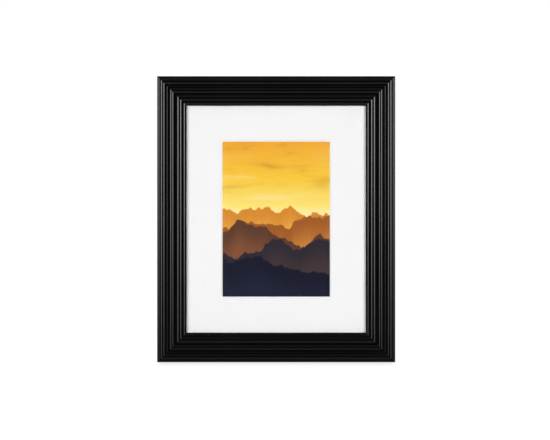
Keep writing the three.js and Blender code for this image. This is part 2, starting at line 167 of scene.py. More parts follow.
def lacquered(name, along):
    """Black lacquer over wood whose grain runs along x or z. The stained back shows the grain."""
    material, tree, surface = finish(name)
    place = on_piece(tree, face)
    depth = put(tree, "ShaderNodeSeparateXYZ", {"Vector": place}).outputs["Y"]
    bare = spread(tree, depth, -0.6 * MM, -0.3 * MM)
    patch = noise(tree, place, 30.0, 3.0)
    coat = blended(tree, patch, (0.0010, 0.0010, 0.0011, 1), (0.0022, 0.0022, 0.0021, 1))
    grain = (14.0, 420.0, 420.0) if along == "x" else (420.0, 420.0, 14.0)
    fibre = noise(tree, stretched(tree, place, *grain), 1.0, 5.0, 0.6)
    open_grain = spread(tree, fibre, 0.32, 0.68)
    stain = blended(tree, open_grain, (0.008, 0.0065, 0.0055, 1), (0.030, 0.021, 0.015, 1))
    gloss = spread(tree, patch, 0.3, 0.7, 0.085, 0.125)
    skin = blended(tree, bare, noise(tree, place, 220.0, 1.0), fibre)
    dress(tree, surface, {
        "Base Color": blended(tree, bare, coat, stain),
        "Roughness": spread(tree, bare, 0.0, 1.0, gloss, 0.62),
        "Specular IOR Level": 0.25,
        "Normal": raised(tree, skin, 0.02, 0.08 * MM),
    })
    return material


def arc(width, crown, steps=14):
    """Points of an arc after its first end, as (along its chord, above it)."""
    half = 2 * math.atan(2 * crown / width)
    radius = width / 2 / math.sin(half)
    turns = [half * (2 * step / steps - 1) for step in range(1, steps + 1)]
    return [(width / 2 + radius * math.sin(t), radius * math.cos(t) - radius + crown) for t in turns]


def eased(before, corner, after, size):
    """Three points that take the sharpness off a corner."""
    corner = Vector(corner)
    back, on = ((Vector(point) - corner).normalized() * size for point in (before, after))
    to_arc = 0.29  # one minus the cosine of 45 degrees, to the middle of a quarter round
    return [tuple(corner + back), tuple(corner + (back + on) * to_arc), tuple(corner + on)]


def rail_section():
    """Points round the section, as (in from the outer wall, forward from the back)."""
    x, height = 0.0, RAIL_HEIGHT
    points = [(x, height)]
    for width, crown, fall, step in RAIL_FACE:
        over = arc(width, crown) if crown else [(width, 0.0)]
        points += [(x + along, height + above - fall * along / width) for along, above in over]
        x += width
        height -= fall + step
        if step:
            points.append((x, height))
    sight = points.pop()
    lip, rebate = (RAIL_WIDTH, REBATE_DEPTH), (RAIL_WIDTH - REBATE_WIDTH, REBATE_DEPTH)
    heel, toe = (rebate[0], NAIL_PROUD), (0.0, NAIL_PROUD)
    points += eased(points[-1], sight, lip, LIP_EASE) + eased(sight, lip, rebate, LIP_EASE) + [rebate]
    points += eased(rebate, heel, toe, HEEL_EASE) + eased(heel, toe, points[0], TOE_EASE)
    return points[::-1]


def wire(points):
    """A closed line through points, in millimetres, as a mesh of edges."""
    mesh = bpy.data.meshes.new("wire")
    edges = [(i, (i + 1) % len(points)) for i in range(len(points))]
    mesh.from_pydata([[value * MM for value in point] for point in points], edges, [])
    return mesh


def new_tree(name, result, **inputs):
    """A geometry tree with named inputs. Returns it with the sockets of its inputs."""
    tree = bpy.data.node_groups.new(name, "GeometryNodeTree")
    for label, kind in inputs.items():
        tree.interface.new_socket(label.replace("_", " "), in_out="INPUT", socket_type="NodeSocket" + kind)
    tree.interface.new_socket(result, in_out="OUTPUT", socket_type="NodeSocketGeometry")
    return tree, put(tree, "NodeGroupInput").outputs


def closed_tree(tree, shape, material):
    """Ends a tree: instances made real, shaded smooth, with their finish."""
    real = put(tree, "GeometryNodeRealizeInstances", {"Geometry": shape}).outputs[0]
    smooth = put(tree, "GeometryNodeSetShadeSmooth", {"Geometry": real}).outputs[0]
    done = put(tree, "GeometryNodeSetMaterial", {"Geometry": smooth, "Material": material}).outputs[0]
    put(tree, "NodeGroupOutput", {0: done})


def grown(tree, host_mesh, **values):
    """The plain mesh that a tree makes from a host mesh."""
    host = bpy.data.objects.new(tree.name, host_mesh)
    scene.collection.objects.link(host)
    modifier = host.modifiers.new(tree.name, "NODES")
    modifier.node_group = tree
    for item in tree.interface.items_tree:
        key = item.name.replace(" ", "_")
        if item.in_out == "INPUT" and key in values:
            modifier[item.identifier] = values[key]
    mesh = bpy.data.meshes.new_from_object(host.evaluated_get(bpy.context.evaluated_depsgraph_get()))
    bpy.data.objects.remove(host)
    return mesh


def fitted(name, mesh, body, slot, *nodes):
    """Hangs a finished mesh on its body, in place of its CAD nodes."""
    mesh.name = name
    piece = bpy.data.objects.new(name, mesh)
    scene.collection.objects.link(piece)
    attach(piece, body)
    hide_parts(*nodes)
    return piece


# The section is swept along x, which lays its width towards -Y and its height towards -Z. Each end is then
# pulled in by the distance from the outer wall, and the rail turned face forward.
rail_tree, given = new_tree("mitred_rail", "Rail", Section="Geometry", Span="Float", Finish="Material")
half_span = calc(rail_tree, "MULTIPLY", given["Span"], 0.5)
start = put(rail_tree, "ShaderNodeCombineXYZ", {"X": calc(rail_tree, "MULTIPLY", half_span, -1.0)})
end = put(rail_tree, "ShaderNodeCombineXYZ", {"X": half_span})
path = put(rail_tree, "GeometryNodeCurvePrimitiveLine", {"Start": start.outputs[0], "End": end.outputs[0]})
outline = put(rail_tree, "GeometryNodeMeshToCurve", {"Mesh": given["Section"]})
swept = put(rail_tree, "GeometryNodeCurveToMesh",
            {"Curve": path.outputs[0], "Profile Curve": outline.outputs[0], "Fill Caps": True})
point = put(rail_tree, "GeometryNodeInputPosition").outputs[0]
was = put(rail_tree, "ShaderNodeSeparateXYZ", {"Vector": point}).outputs
reach = calc(rail_tree, "ADD", half_span, was["Y"])
now = put(rail_tree, "ShaderNodeCombineXYZ", {
    "X": calc(rail_tree, "MULTIPLY", calc(rail_tree, "SIGN", was["X"]), reach),
    "Y": was["Z"],
    "Z": calc(rail_tree, "MULTIPLY", was["Y"], -1.0),
})
mitred = put(rail_tree, "GeometryNodeSetPosition", {"Geometry": swept.outputs[0], "Position": now.outputs[0]})
closed_tree(rail_tree, mitred.outputs[0], given["Finish"])

rail_section_wire = wire([(x, y, 0.0) for x, y in rail_section()])
frame_width, frame_height = SIGHT_WIDTH + 2 * RAIL_WIDTH, SIGHT_HEIGHT + 2 * RAIL_WIDTH
lying = (frame_width, frame_height / 2, lacquered("black_lacquer_lying", "x"))
upright = (frame_height, frame_width / 2, lacquered("black_lacquer_upright", "z"))
# Each side is turned about y from where the bottom one lies.
sides = {"bottom": 0.0, "left": math.pi / 2, "top": math.pi, "right": -math.pi / 2}
for side, turn in sides.items():
    span, out, material = lying if side in ("bottom", "top") else upright
    rail = grown(rail_tree, rail_section_wire, Span=span * MM, Finish=material)
    rail.transform(face @ Matrix.Rotation(turn, 4, "Y") @ Matrix.Translation((0, 0, -out * MM)))
    rail.set_sharp_from_angle(angle=math.radians(RAIL_CREASE))
    fitted(f"{side}_rail", rail, "frame", "lacquered_wood", f"rail_{side}")

# V nails. Bent strips of zinc-plated spring steel, two to a mitre, driven in from the back until they are
# flush, so that only their edges show.


def plated(name, pale, dark, rough, polish):
    """Plated steel: a bright metal with cloudy patches and fine rolling lines."""
    material, tree, surface = finish(name)
    place = on_piece(tree, face)
    cloud = noise(tree, place, 260.0, 4.0, 0.6)
    lines = noise(tree, stretched(tree, place, 300.0, 2600.0, 2600.0), 1.0, 3.0)
    dress(tree, surface, {
        "Base Color": blended(tree, spread(tree, cloud, 0.3, 0.7), dark, pale),
        "Metallic": 1.0,
        "Roughness": spread(tree, cloud, 0.3, 0.7, rough, polish),
        "Normal": raised(tree, lines, 0.12, 0.03 * MM),
    })
    return material


zinc = plated("zinc_plate", (0.70, 0.71, 0.73, 1), (0.52, 0.53, 0.55, 1), 0.42, 0.26)
for name, node in frame["nodes"].items():
    if name.startswith("v_nail"):
        node.material_slots[0].material = zinc

# Pane. A sheet of low-reflection picture glass, cut to the rebate and laid against the lip, with the faint
# smears that wiping leaves. Its coating takes off most of the sheen, as a lower index does.
glass, tree, surface = finish("picture_glass")
smear = noise(tree, stretched(tree, on_piece(tree, face), 9.0, 9.0, 22.0), 1.0, 4.0)
dress(tree, surface, {
    "Base Color": (0.999, 1.0, 0.9995, 1),
    "Roughness": spread(tree, smear, 0.45, 0.8, 0.0, 0.02),
    "IOR": 1.3,
    "Transmission Weight": 1.0,
})
clear = put(tree, "ShaderNodeBsdfTransparent", {"Color": (0.983, 0.984, 0.983, 1)}).outputs[0]
rays = put(tree, "ShaderNodeLightPath").outputs
pane = surface.outputs[0]
for ray in ("Is Shadow Ray", "Is Diffuse Ray"):  # light goes straight through to the mat and back
    pane = put(tree, "ShaderNodeMixShader", {0: rays[ray], 1: pane, 2: clear}).outputs[0]
dress(tree, tree.nodes["Material Output"], {"Surface": pane})
frame["nodes"]["glass"].material_slots[0].material = glass

# Window mat. Paper-faced board with a white core. Its window is cut with the knife held at 45 degrees, so a
# band of core shows all round the print.
SHEET_WIDTH, SHEET_HEIGHT = 203.2, 254.0
WINDOW_WIDTH, WINDOW_HEIGHT = 114.3, 165.1
MAT_BACK, MAT_FRONT = -5.35, -6.85
CUT_EASE, BACK_EASE = 0.08, 0.04  # softness of the cut's front and back edges
CUT_BANDS = (3, 4)  # the bands of faces, between the loops below, that show the core


def shell(loops, ring):
    """A closed mesh over loops of points in millimetres.

    The last loop meets the first, or both are capped.
    """
    count = len(loops[0])
    faces = []
    for k in range(len(loops) if ring else len(loops) - 1):
        a, b = k * count, (k + 1) % len(loops) * count
        faces += [(a + i, a + (i + 1) % count, b + (i + 1) % count, b + i) for i in range(count)]
    if not ring:
        faces += [tuple(range(count)), tuple(range((len(loops) - 1) * count, len(loops) * count))]
    mesh = bpy.data.meshes.new("shell")
    mesh.from_pydata([[value * MM for value in point] for loop in loops for point in loop], [], faces)
    outward(mesh)
    return mesh


def outward(mesh):
    """Turns a closed mesh's faces outwards."""
    edit = bmesh.new()
    edit.from_mesh(mesh)
    bmesh.ops.recalc_face_normals(edit, faces=edit.faces)
    edit.to_mesh(mesh)
    edit.free()


def oblong(width, height, y):
    """The corners of an upright oblong about the picture's middle."""
    x, z = width / 2, height / 2
    return [(-x, y, -z), (x, y, -z), (x, y, z), (-x, y, z)]


def window(wider, y):
    """The window's corners, wider than its clear opening by the given amount."""
    return oblong(WINDOW_WIDTH + wider, WINDOW_HEIGHT + wider, y)


bevel = MAT_BACK - MAT_FRONT
mat_loops = [
    oblong(SHEET_WIDTH, SHEET_HEIGHT, MAT_BACK),
    oblong(SHEET_WIDTH, SHEET_HEIGHT, MAT_FRONT),
    window(2 * bevel + 2 * CUT_EASE, MAT_FRONT),
    window(2 * bevel - CUT_EASE, MAT_FRONT + CUT_EASE),
    window(0.0, MAT_BACK - BACK_EASE),
    window(1.5 * BACK_EASE, MAT_BACK),
]
mat_mesh = shell(mat_loops, ring=True)
core = mat_mesh.attributes.new("core", "FLOAT", "FACE")
for face_index, value in enumerate(core.data):
    value.value = 1.0 if face_index // len(mat_loops[0]) in CUT_BANDS else 0.0
mat_finish, tree, surface = finish("white_mat_board")
place = on_piece(tree, face)
is_core = put(tree, "ShaderNodeAttribute", attribute_name="core").outputs["Fac"]
tooth = noise(tree, place, 2400.0, 3.0, 0.65)
shade = noise(tree, place, 22.0, 2.0)
paper = blended(tree, shade, (0.905, 0.905, 0.904, 1), (0.918, 0.918, 0.918, 1))
dress(tree, surface, {
    "Base Color": blended(tree, is_core, paper, (0.97, 0.97, 0.968, 1)),
    "Roughness": spread(tree, tooth, 0.3, 0.7, 0.82, 0.94),
    "Normal": raised(tree, tooth, 0.25, 0.04 * MM),
})
mat_mesh.materials.append(mat_finish)
mat_mesh.transform(face)
fitted("bevelled_mat", mat_mesh, "frame", "mat_board", "window_mat")

# Print. A sheet of satin photographic paper behind the window: hazy ridges that fade into a low amber light,
# under thin streaks of cloud.
PRINT_WIDTH, PRINT_HEIGHT = 127.0, 177.8
WHITE_FROM, WHITE_TO = -4.95, -4.9  # depth in the sheet past which it shows its white back
TREES_BELOW, TREE_HEIGHT = -0.3, 0.045  # lower ridges are close enough to show the tops of trees
RIDGES = (  # from the farthest: height, rise, waves, seed, slant, then the tones of its edge and of its mist
    (0.10, 0.18, 2.3, 3.1, 0.05, (216, 138, 48), (246, 190, 84)),
    (-0.04, 0.24, 1.9, 11.7, -0.10, (158, 90, 40), (214, 136, 60)),
    (-0.18, 0.28, 1.5, 23.4, 0.14, (92, 60, 46), (140, 86, 54)),
    (-0.34, 0.30, 1.3, 37.9, -0.06, (46, 41, 50), (74, 57, 56)),
    (-0.56, 0.32, 1.1, 51.3, 0.20, (23, 25, 42), (34, 37, 58)),
)


def screen(*values):
    """A colour in screen values, 0 to 255, as the shaders take it."""
    parts = [value / 255 for value in values]
    return (*(p / 12.92 if p <= 0.04045 else ((p + 0.055) / 1.055) ** 2.4 for p in parts), 1.0)


def toned(tree, factor, stops):
    """A colour from a row of (place, screen colour) stops."""
    ramp = put(tree, "ShaderNodeValToRGB", {"Fac": factor})
    elements = ramp.color_ramp.elements
    while len(elements) < len(stops):
        elements.new(0.5)
    for element, (at, colour) in zip(elements, stops):
        element.position = at
        element.color = screen(*colour)
    return ramp.outputs[0]


def line_noise(tree, along, scale, seed, detail, roughness):
    """A ragged line, as heights from 0 to 1 along its run."""
    sockets = {"W": calc(tree, "ADD", along, seed), "Scale": scale, "Detail": detail, "Roughness": roughness}
    return put(tree, "ShaderNodeTexNoise", sockets, noise_dimensions="1D").outputs[0]


print_finish, tree, surface = finish("landscape_print")
place = on_piece(tree, face)
spot = put(tree, "ShaderNodeSeparateXYZ", {"Vector": place}).outputs
across = calc(tree, "MULTIPLY", spot["X"], 2 / PRINT_WIDTH / MM)
height = calc(tree, "MULTIPLY", spot["Z"], 2 / PRINT_HEIGHT / MM)
picture = toned(tree, calc(tree, "MULTIPLY_ADD", height, 0.5, 0.5), (
    (0.46, (255, 248, 214)), (0.58, (254, 228, 118)), (0.74, (251, 202, 62)), (0.97, (241, 168, 52))))
cloud_place = stretched(tree, place, 13.0, 0.0, 62.0)
streak = noise(tree, cloud_place, 1.0, 7.0, 0.56)
thick = calc(tree, "MULTIPLY", spread(tree, streak, 0.50, 0.74), spread(tree, height, 0.1, 0.6))
picture = blended(tree, calc(tree, "MULTIPLY", thick, 0.62), picture, screen(176, 98, 44))
lit = calc(tree, "MULTIPLY", spread(tree, streak, 0.50, 0.28), spread(tree, height, 0.95, 0.3))
picture = blended(tree, calc(tree, "MULTIPLY", lit, 0.55), picture, screen(255, 240, 176))
for base, rise, waves, seed, slant, edge_tone, mist_tone in RIDGES:
    line = line_noise(tree, across, waves, seed, 7.0, 0.52)
    crest = calc(tree, "MULTIPLY_ADD", line, 2 * rise, base - rise)
    crest = calc(tree, "MULTIPLY_ADD", across, -slant, crest)
    if base < TREES_BELOW:
        trees = line_noise(tree, across, 46.0, seed, 4.0, 0.75)
        crest = calc(tree, "MULTIPLY_ADD", trees, TREE_HEIGHT, crest)
    below = calc(tree, "SUBTRACT", crest, height)
    mist = spread(tree, below, 0.02, 0.42)
    tone = blended(tree, calc(tree, "MULTIPLY", mist, 0.8), screen(*edge_tone), screen(*mist_tone))
    picture = blended(tree, spread(tree, below, -0.004, 0.006), picture, tone)
on_back = spread(tree, spot["Y"], WHITE_FROM * MM, WHITE_TO * MM)
dress(tree, surface, {
    "Base Color": blended(tree, on_back, picture, (0.86, 0.86, 0.84, 1)),
    "Roughness": spread(tree, noise(tree, place, 60.0, 2.0), 0.3, 0.7, 0.20, 0.22),
    "Specular IOR Level": 0.25,
    "Normal": raised(tree, noise(tree, place, 1500.0, 2.0), 0.02, 0.02 * MM),
})
frame["nodes"]["print"].material_slots[0].material = print_finish

# Filler card. A sheet of grey pulp card, cut to the rebate. It takes up the slack behind the print and keeps
# the print and the mat flat against the glass.
card, tree, surface = finish("grey_pulp_card")
place = on_piece(tree, face)
pulp = noise(tree, place, 900.0, 6.0, 0.7)
dress(tree, surface, {
    "Base Color": blended(tree, spread(tree, pulp, 0.3, 0.7), (0.24, 0.22, 0.19, 1), (0.40, 0.37, 0.33, 1)),
    "Roughness": spread(tree, pulp, 0.3, 0.7, 0.9, 0.98),
    "Normal": raised(tree, pulp, 0.3, 0.08 * MM),
})
frame["nodes"]["filler_card"].material_slots[0].material = card

# Backing board. Hardboard faced on both sides with black embossed paper and sawn to the rebate, so that its
# edges show the brown fibre.
PAPER_THIN, PAPER_THICK = 0.03, 0.14  # the brown begins between these depths


def faced_board(name, matrix):
    """Paper-faced hardboard whose outer face lies at y = 0 of the given axes."""
    material, tree, surface = finish(name)
    place = on_piece(tree, matrix)
    y = put(tree, "ShaderNodeSeparateXYZ", {"Vector": place}).outputs["Y"]
    half = BOARD_THICKNESS / 2
    from_middle = calc(tree, "ABSOLUTE", calc(tree, "ADD", y, half * MM))
    sawn = spread(tree, from_middle, (half - PAPER_THIN) * MM, (half - PAPER_THICK) * MM)
    emboss = put(tree, "ShaderNodeTexVoronoi", {"Vector": place, "Scale": 1150.0}).outputs["Distance"]
    rub = noise(tree, stretched(tree, place, 22.0, 22.0, 14.0), 1.0, 6.0, 0.65)
    faced = blended(tree, spread(tree, rub, 0.45, 0.8), (0.012, 0.012, 0.0125, 1), (0.030, 0.029, 0.029, 1))
    fibre = noise(tree, stretched(tree, place, 160.0, 2400.0, 160.0), 1.0, 4.0)
    brown = blended(tree, fibre, (0.055, 0.030, 0.016, 1), (0.15, 0.088, 0.048, 1))
    dress(tree, surface, {
        "Base Color": blended(tree, sawn, faced, brown),
        "Roughness": spread(tree, rub, 0.35, 0.75, 0.58, 0.46),
        "Normal": raised(tree, blended(tree, sawn, emboss, fibre), 0.35, 0.12 * MM),
    })
    return material


frame["nodes"]["backing_board"].material_slots[0].material = faced_board("faced_backing", face)

# Turn buttons. Brassed steel stampings shaped like a drop, two on the back of each rail. Each turns on its
# screw to hold the board in or let it go.
BUTTON_HEAD, BUTTON_TIP, BUTTON_REACH = 5.0, 3.0, 14.0
BUTTON_LOW, BUTTON_HIGH, BUTTON_BOSS = 0.3, 1.3, 1.56
BUTTON_EDGE = (  # its pressed edge as (inset, height), from the underside round to the flat of the top
    (0.30, BUTTON_LOW),
    (0.08, BUTTON_LOW + 0.08),
    (0.00, BUTTON_LOW + 0.30),
    (0.00, BUTTON_HIGH - 0.40),
    (0.11, BUTTON_HIGH - 0.11),
    (0.40, BUTTON_HIGH),
    (1.30, BUTTON_HIGH),
)
BOSS_FOOT, BOSS_TOP, SCREW_HOLE = 3.05, 2.75, 1.6
brass = plated("brass_plate", (0.80, 0.60, 0.29, 1), (0.60, 0.41, 0.17, 1), 0.40, 0.24)


def drop_outline(inset, y):
    """The button's outline drawn in by inset, with its screw at the middle and its tip towards +z."""
    tip = BUTTON_REACH - BUTTON_TIP
    tangent = math.asin((BUTTON_HEAD - BUTTON_TIP) / tip)
    loop = []
    for centre, radius, first, last, steps in (
        (tip, BUTTON_TIP, tangent, math.pi - tangent, 18),
        (0.0, BUTTON_HEAD, math.pi - tangent, 2 * math.pi + tangent, 34),
    ):
        for step in range(steps + 1):
            turn = first + (last - first) * step / steps
            loop.append(((radius - inset) * math.cos(turn), y, centre + (radius - inset) * math.sin(turn)))
    return loop


def round_hole(radius, y):
    """A circle with a point under each point of the outline."""
    turns = [math.atan2(z, x) for x, _, z in drop_outline(0.0, 0.0)]
    return [(radius * math.cos(turn), y, radius * math.sin(turn)) for turn in turns]


def smoothed(mesh, degrees):
    """A mesh shaded smooth, with edges sharper than that angle kept crisp."""
    mesh.shade_smooth()
    mesh.set_sharp_from_angle(angle=math.radians(degrees))
    return mesh


button = smoothed(shell([
    round_hole(SCREW_HOLE, BUTTON_LOW),
    *(drop_outline(inset, y) for inset, y in BUTTON_EDGE),
    round_hole(BOSS_FOOT, BUTTON_HIGH),
    round_hole(BOSS_TOP, BUTTON_BOSS),
    round_hole(SCREW_HOLE, BUTTON_BOSS),
], ring=True), 40)
button.materials.append(brass)
HEAD_GAP = 0.02  # the heads of screws and rivets sit that far off the metal
screw_places = []
for name, joint in joints.items():
    if not name.startswith("turn_button"):
        continue
    side = name.split("_")[2]
    pivot = face.inverted() @ Vector(joint["pos_m"])
    screw_places.append((pivot.x / MM, BUTTON_BOSS + HEAD_GAP, pivot.z / MM))
    mesh = button.copy()
    mesh.transform(face @ Matrix.Translation((pivot.x, 0, pivot.z)) @ Matrix.Rotation(sides[side], 4, "Y"))
    node = joint["child"]
    fitted(f"{node}_stamping", mesh, node, "brassed_steel", node)

# Button screws. Brassed pan-head wood screws with a cross slot, driven by hand, so their slots stand at odd
# angles.
SCREW_HEAD, SCREW_RIM, SCREW_HEIGHT, SCREW_EDGE = 3.0, 0.8, 1.7, 0.15
SCREW_SHANK, SCREW_LENGTH, SCREW_POINT, SCREW_TIP = 1.3, 11.0, 1.5, 0.05
SLOT_LENGTH, SLOT_WIDTH, SLOT_FLOOR, SLOT_CUTTER = 3.6, 0.8, 0.8, 2.0
TURNED_END = 0.06  # radius of the flat that a turned piece ends in


def turned(profile, sides_round):
    """A turned piece about y from (radius, y) points."""
    turns = [2 * math.pi * i / sides_round for i in range(sides_round)]
    loops = [[(r * math.cos(t), y, r * math.sin(t)) for t in turns] for r, y in profile]
    return shell(loops, ring=False)


def domed(radius, rim, top, steps=9):
    """The profile of a domed head from its rim to its top."""
    rise = [math.pi / 2 * step / steps for step in range(steps)]
    return [(radius * math.cos(t), rim + (top - rim) * math.sin(t)) for t in rise] + [(TURNED_END, top)]


def loose(name, mesh):
    """An object that only lends its mesh to a tree."""
    thing = bpy.data.objects.new(name, mesh)
    scene.collection.objects.link(thing)
    return thing


def points_at(places):
    """A mesh of loose points, in millimetres, for a tree to set pieces on."""
    mesh = bpy.data.meshes.new("places")
    mesh.from_pydata([[value * MM for value in place] for place in places], [], [])
    return mesh


blank = loose("screw_blank", turned([
    (SCREW_TIP, -SCREW_LENGTH), (SCREW_SHANK, SCREW_POINT - SCREW_LENGTH), (SCREW_SHANK, 0.0),
    (SCREW_HEAD - SCREW_EDGE, 0.0), (SCREW_HEAD, SCREW_EDGE), *domed(SCREW_HEAD, SCREW_RIM, SCREW_HEIGHT),
], 40))
screw_tree, given = new_tree(
    "pan_screws", "Screws", Places="Geometry", Blank="Object", Slot_length="Float", Slot_width="Float",
    Slot_floor="Float", Seed="Int", Finish="Material")
info = put(screw_tree, "GeometryNodeObjectInfo", {"Object": given["Blank"]})
slotted = put(screw_tree, "GeometryNodeMeshBoolean", {0: info.outputs["Geometry"]},
              operation="DIFFERENCE", solver="EXACT")
for x, z in (("Slot length", "Slot width"), ("Slot width", "Slot length")):
    size = put(screw_tree, "ShaderNodeCombineXYZ", {"X": given[x], "Y": SLOT_CUTTER * MM, "Z": given[z]})
    bar = put(screw_tree, "GeometryNodeMeshCube", {"Size": size.outputs[0]})
    middle = calc(screw_tree, "ADD", given["Slot floor"], SLOT_CUTTER / 2 * MM)
    lift = put(screw_tree, "ShaderNodeCombineXYZ", {"Y": middle})
    moved = put(screw_tree, "GeometryNodeTransform",
                {"Geometry": bar.outputs[0], "Translation": lift.outputs[0]})
    screw_tree.links.new(moved.outputs[0], slotted.inputs[1])
angle = put(screw_tree, "FunctionNodeRandomValue", data_type="FLOAT")
dress(screw_tree, angle, {2: 0.0, 3: math.pi, 8: given["Seed"]})
spin = put(screw_tree, "ShaderNodeCombineXYZ", {"Y": angle.outputs[1]})
driven = put(screw_tree, "GeometryNodeInstanceOnPoints", {
    "Points": given["Places"], "Instance": slotted.outputs[0], "Rotation": spin.outputs[0]})
closed_tree(screw_tree, driven.outputs[0], given["Finish"])
screws = grown(
    screw_tree, points_at(screw_places), Blank=blank, Slot_length=SLOT_LENGTH * MM,
    Slot_width=SLOT_WIDTH * MM, Slot_floor=SLOT_FLOOR * MM, Seed=5, Finish=brass)
bpy.data.objects.remove(blank)
screws.transform(face)
smoothed(screws, 35)
screw_nodes = [name for name in frame["nodes"] if name.startswith("button_screw")]
fitted("button_screws", screws, "frame", "brassed_steel", *screw_nodes)

# Easel hinge. Two zinc-plated leaves pressed from sheet, with their knuckles rolled round a headed pin. A
# tongue on the moving leaf stops against the fixed one and sets how far the leg opens.
HINGE_WIDTH, HINGE_LENGTH, HINGE_SHEET, HINGE_BORE = 34.0, 17.0, 1.0, 1.35
MIDDLE_KNUCKLE, KNUCKLE_GAP, TONGUE_HALF, TONGUE_SLIT = 12.0, 0.3, 3.0, 0.4
SHEET_CORNER, DEBURRED = 2.0, 0.14  # rounding of the free corners and of all cut edges
ROLL_DEGREES, ROLL_STEPS = 290, 30
PIN_RADIUS, PIN_HEAD, PIN_HEAD_LENGTH = 1.2, 1.9, 0.7
hinge_at = Vector(joints["easel_hinge"]["pos_m"])
opening = math.radians(-joints["easel_hinge"]["range_deg"][0])
hinge = Matrix.Translation(hinge_at) @ Matrix.Rotation(-lean, 4, "X")
leg_axes = Matrix.Translation(hinge_at) @ Matrix.Rotation(opening - lean, 4, "X")


def leaf_plate(length, sheet, bore, top):
    """The flat part of a leaf's middle line as (y, z), from its free end up to top."""
    y = -bore - sheet / 2
    across_corner = [0.0, 0.1, 0.3, 0.7, 1.3, 2.0]
    return [(y, -length + d) for d in across_corner] + [(y, top)]


def rolled(sheet, bore):
    """The rolled part of a leaf's middle line, which goes round its pin."""
    radius = bore + sheet / 2
    turns = [math.radians(180 - ROLL_DEGREES * step / ROLL_STEPS) for step in range(ROLL_STEPS + 1)]
    return [(radius * math.cos(turn), radius * math.sin(turn)) for turn in turns]


def pressed(strips, width, length, sheet):
    """A pressed sheet with rounded free corners, made of strips side by side.

    Each strip is (from x, to x, middle line).
    """
    corner = SHEET_CORNER
    edit = bmesh.new()
    for first, last, line in strips:
        rows = []
        for y, z in line:
            short = corner - min(corner, z + length)
            cut = corner - math.sqrt(max(corner * corner - short * short, 0.0))
            limit = width / 2 - (cut if z < 0 else 0.0)
            ends = [max(-limit, min(limit, x)) for x in (first, last)]
            rows.append([edit.verts.new((x * MM, y * MM, z * MM)) for x in ends])
        for (a, b), (c, d) in zip(rows, rows[1:]):
            edit.faces.new((a, b, d, c))
    bmesh.ops.remove_doubles(edit, verts=edit.verts, dist=1e-6)
    bmesh.ops.recalc_face_normals(edit, faces=edit.faces)
    mesh = bpy.data.meshes.new("pressed")
    edit.to_mesh(mesh)
    edit.free()
    thing = loose("pressed", mesh)
    wall = thing.modifiers.new("sheet", "SOLIDIFY")
    wall.thickness, wall.offset, wall.use_even_offset = sheet * MM, 0.0, True
    soft = thing.modifiers.new("deburred", "BEVEL")
    soft.width, soft.segments, soft.limit_method = DEBURRED * MM, 2, "ANGLE"
    soft.angle_limit = math.radians(50)
    done = bpy.data.meshes.new_from_object(thing.evaluated_get(bpy.context.evaluated_depsgraph_get()))
    bpy.data.objects.remove(thing)
    outward(done)
    smoothed(done, 40)
    done.materials.append(zinc)
    return done


clear_of_barrel = -HINGE_BORE - HINGE_SHEET - KNUCKLE_GAP
flat = leaf_plate(HINGE_LENGTH, HINGE_SHEET, HINGE_BORE, clear_of_barrel)
barrel = flat + rolled(HINGE_SHEET, HINGE_BORE)
inner, outer, half = MIDDLE_KNUCKLE / 2 + KNUCKLE_GAP, HINGE_WIDTH / 2, MIDDLE_KNUCKLE / 2
fixed_leaf = pressed(
    [(-outer, -inner, barrel), (-inner, inner, flat), (inner, outer, barrel)],
    HINGE_WIDTH, HINGE_LENGTH, HINGE_SHEET)
fixed_leaf.transform(hinge @ Matrix.Rotation(math.pi, 4, "Y"))
fitted("fixed_hinge_leaf", fixed_leaf, "frame", "zinc_steel", "hinge_leaf_fixed")

tongue_top = (HINGE_BORE * (1 + math.cos(opening)) - KNUCKLE_GAP) / math.sin(opening)
tab = flat + [(flat[0][0], 0.0)]
tongue = tab + [(flat[0][0], tongue_top)]
slit = TONGUE_HALF + TONGUE_SLIT
moving_leaf = pressed(
    [(-outer, -half, flat), (-half, -slit, barrel), (-slit, -TONGUE_HALF, tab),
     (-TONGUE_HALF, TONGUE_HALF, tongue),
     (TONGUE_HALF, slit, tab), (slit, half, barrel), (half, outer, flat)],
    HINGE_WIDTH, HINGE_LENGTH, HINGE_SHEET)
moving_leaf.transform(leg_axes @ Matrix.Rotation(math.pi, 4, "Z"))
fitted("moving_hinge_leaf", moving_leaf, "easel_leg", "zinc_steel", "hinge_leaf_moving")

shoulder = HINGE_WIDTH / 2 + KNUCKLE_GAP
tip = shoulder + PIN_HEAD_LENGTH
pin_head = [  # one end of the pin, from its rounded head to its shank
    (TURNED_END, tip), (PIN_HEAD - 0.4, tip), (PIN_HEAD - 0.1, tip - 0.12), (PIN_HEAD, tip - 0.35),
    (PIN_HEAD, shoulder), (PIN_RADIUS, shoulder),
]
pin = smoothed(turned([(radius, -y) for radius, y in pin_head] + pin_head[::-1], 32), 40)
pin.materials.append(zinc)
pin.transform(hinge @ Matrix.Rotation(-math.pi / 2, 4, "Z"))
fitted("headed_hinge_pin", pin, "frame", "zinc_steel", "hinge_pin")

# Easel leg. The same faced hardboard as the back, tapered and rounded at the top, with its foot sawn to stand
# flat on the table when the leg is open.
LEG_TOP, LEG_FOOT, LEG_CORNER, LEG_THICKNESS = 40.0, 60.0, 7.0, 3.0
LEG_EDGE = ((0.0, 0.30), (0.09, 0.09), (0.30, 0.0))  # its eased edge as (depth from the face, inset)
leg_back = HINGE_BORE - KNUCKLE_GAP


